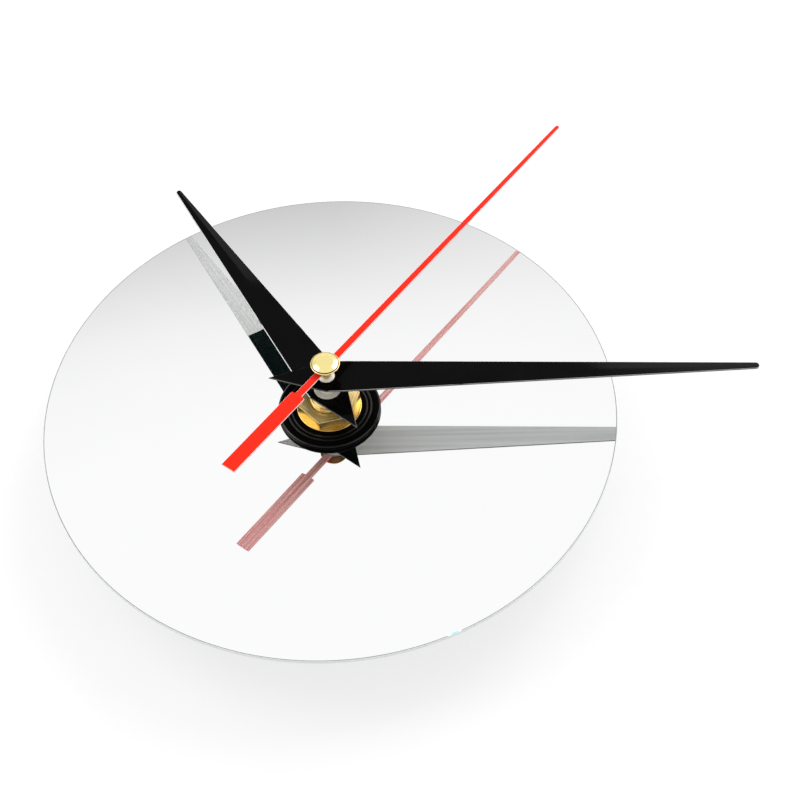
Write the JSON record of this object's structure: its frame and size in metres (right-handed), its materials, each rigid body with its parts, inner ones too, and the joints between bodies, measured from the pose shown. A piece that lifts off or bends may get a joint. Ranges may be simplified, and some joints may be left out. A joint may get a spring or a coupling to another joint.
{
  "type": "mirror wall clock",
  "caption": "Round mirror-faced quartz clock: black hour and minute hands and a red second hand on a threaded bushing, geared movement and cell behind the disc.",
  "frame": {"origin": "hand axis on the flat back face of the movement, on which the clock lies", "axes": "+Z along the hand axis out of the dial, +Y towards 12 o'clock, +X towards 3 o'clock"},
  "size_m": [0.1533, 0.1279, 0.034],
  "materials": {
    "case": "moulded black ABS, fine spark texture",
    "gear": "moulded acetal, off white",
    "gear_dark": "moulded acetal, red brown",
    "mirror": "silvered acrylic sheet, grey painted back",
    "rubber": "moulded black rubber, concentric ridges",
    "brass": "turned brass, bright",
    "gold": "polished gold-plated brass",
    "black_paint": "gloss black paint on aluminium sheet, bare grey underside",
    "red_paint": "red paint on aluminium sheet",
    "collet": "bare spun aluminium",
    "steel": "bright drawn steel",
    "magnet": "sintered magnet",
    "copper": "enamelled copper wire",
    "spool": "moulded nylon",
    "board": "paper laminate board, green mask",
    "epoxy": "black epoxy blob",
    "can": "tinned can",
    "cell": "plain dark sleeve without lettering",
    "contact": "nickel-plated spring strip"
  },
  "bodies": {
    "case": {"case_front": "case", "back_cover": "case", "cell": "cell", "contact_plus": "contact", "contact_minus": "contact", "board": "board", "crystal": "can", "chip": "epoxy", "stator": "steel", "core": "steel", "spool": "spool", "winding": "copper", "step_pin": "steel", "motion_pin": "steel", "bushing": "brass", "mirror": "mirror", "rubber_washer": "rubber", "brass_washer": "brass", "nut": "brass"},
    "minute": {"minute_hand": "black_paint", "minute_pipe": "brass", "clutch_spring": "contact"},
    "hour": {"hour_hand": "black_paint", "hour_collet": "collet", "hour_wheel": "gear"},
    "second": {"second_hand": "red_paint", "second_tube": "brass", "second_cap": "gold", "second_arbor": "steel", "second_wheel": "gear"},
    "third": {"third_wheel": "gear", "third_arbor": "gear_dark"},
    "centre": {"centre_wheel": "gear"},
    "motion": {"motion_wheel": "gear"},
    "knob": {"set_knob": "gear_dark", "set_pinion": "gear"},
    "step": {"step_wheel": "gear"},
    "rotor": {"rotor": "gear_dark", "magnet": "magnet"}
  },
  "joints": [
    {"name": "minute_turn", "type": "hinge", "parent": "case", "child": "minute", "pos_m": [0, 0, 0], "axis": [0, 0, -1], "continuous": true},
    {"name": "hour_turn", "type": "hinge", "parent": "case", "child": "hour", "pos_m": [0, 0, 0], "axis": [0, 0, -1], "continuous": true},
    {"name": "motion_turn", "type": "hinge", "parent": "case", "child": "motion", "pos_m": [-0.00139, 0.00788, 0], "axis": [0, 0, -1], "continuous": true},
    {"name": "knob_turn", "type": "hinge", "parent": "case", "child": "knob", "pos_m": [-0.00752, 0.01302, 0], "axis": [0, 0, -1], "continuous": true},
    {"name": "second_turn", "type": "hinge", "parent": "case", "child": "second", "pos_m": [0, 0, 0], "axis": [0, 0, -1], "continuous": true},
    {"name": "step_turn", "type": "hinge", "parent": "case", "child": "step", "pos_m": [-0.00822, -0.00299, 0], "axis": [0, 0, -1], "continuous": true},
    {"name": "rotor_turn", "type": "hinge", "parent": "case", "child": "rotor", "pos_m": [-0.01446, 0.00061, 0], "axis": [0, 0, -1], "continuous": true},
    {"name": "third_turn", "type": "hinge", "parent": "case", "child": "third", "pos_m": [0.00935, 0.0054, 0], "axis": [0, 0, -1], "continuous": true},
    {"name": "centre_turn", "type": "hinge", "parent": "case", "child": "centre", "pos_m": [0, 0, 0], "axis": [0, 0, -1], "continuous": true}
  ],
  "couplings": [
    {"joint": "hour_turn", "follows": "minute_turn", "ratio": 0.083333},
    {"joint": "motion_turn", "follows": "minute_turn", "ratio": -0.33333},
    {"joint": "knob_turn", "follows": "minute_turn", "ratio": 1},
    {"joint": "step_turn", "follows": "second_turn", "ratio": -6},
    {"joint": "rotor_turn", "follows": "second_turn", "ratio": 30},
    {"joint": "third_turn", "follows": "second_turn", "ratio": -0.13333},
    {"joint": "centre_turn", "follows": "second_turn", "ratio": 0.016667}
  ]
}
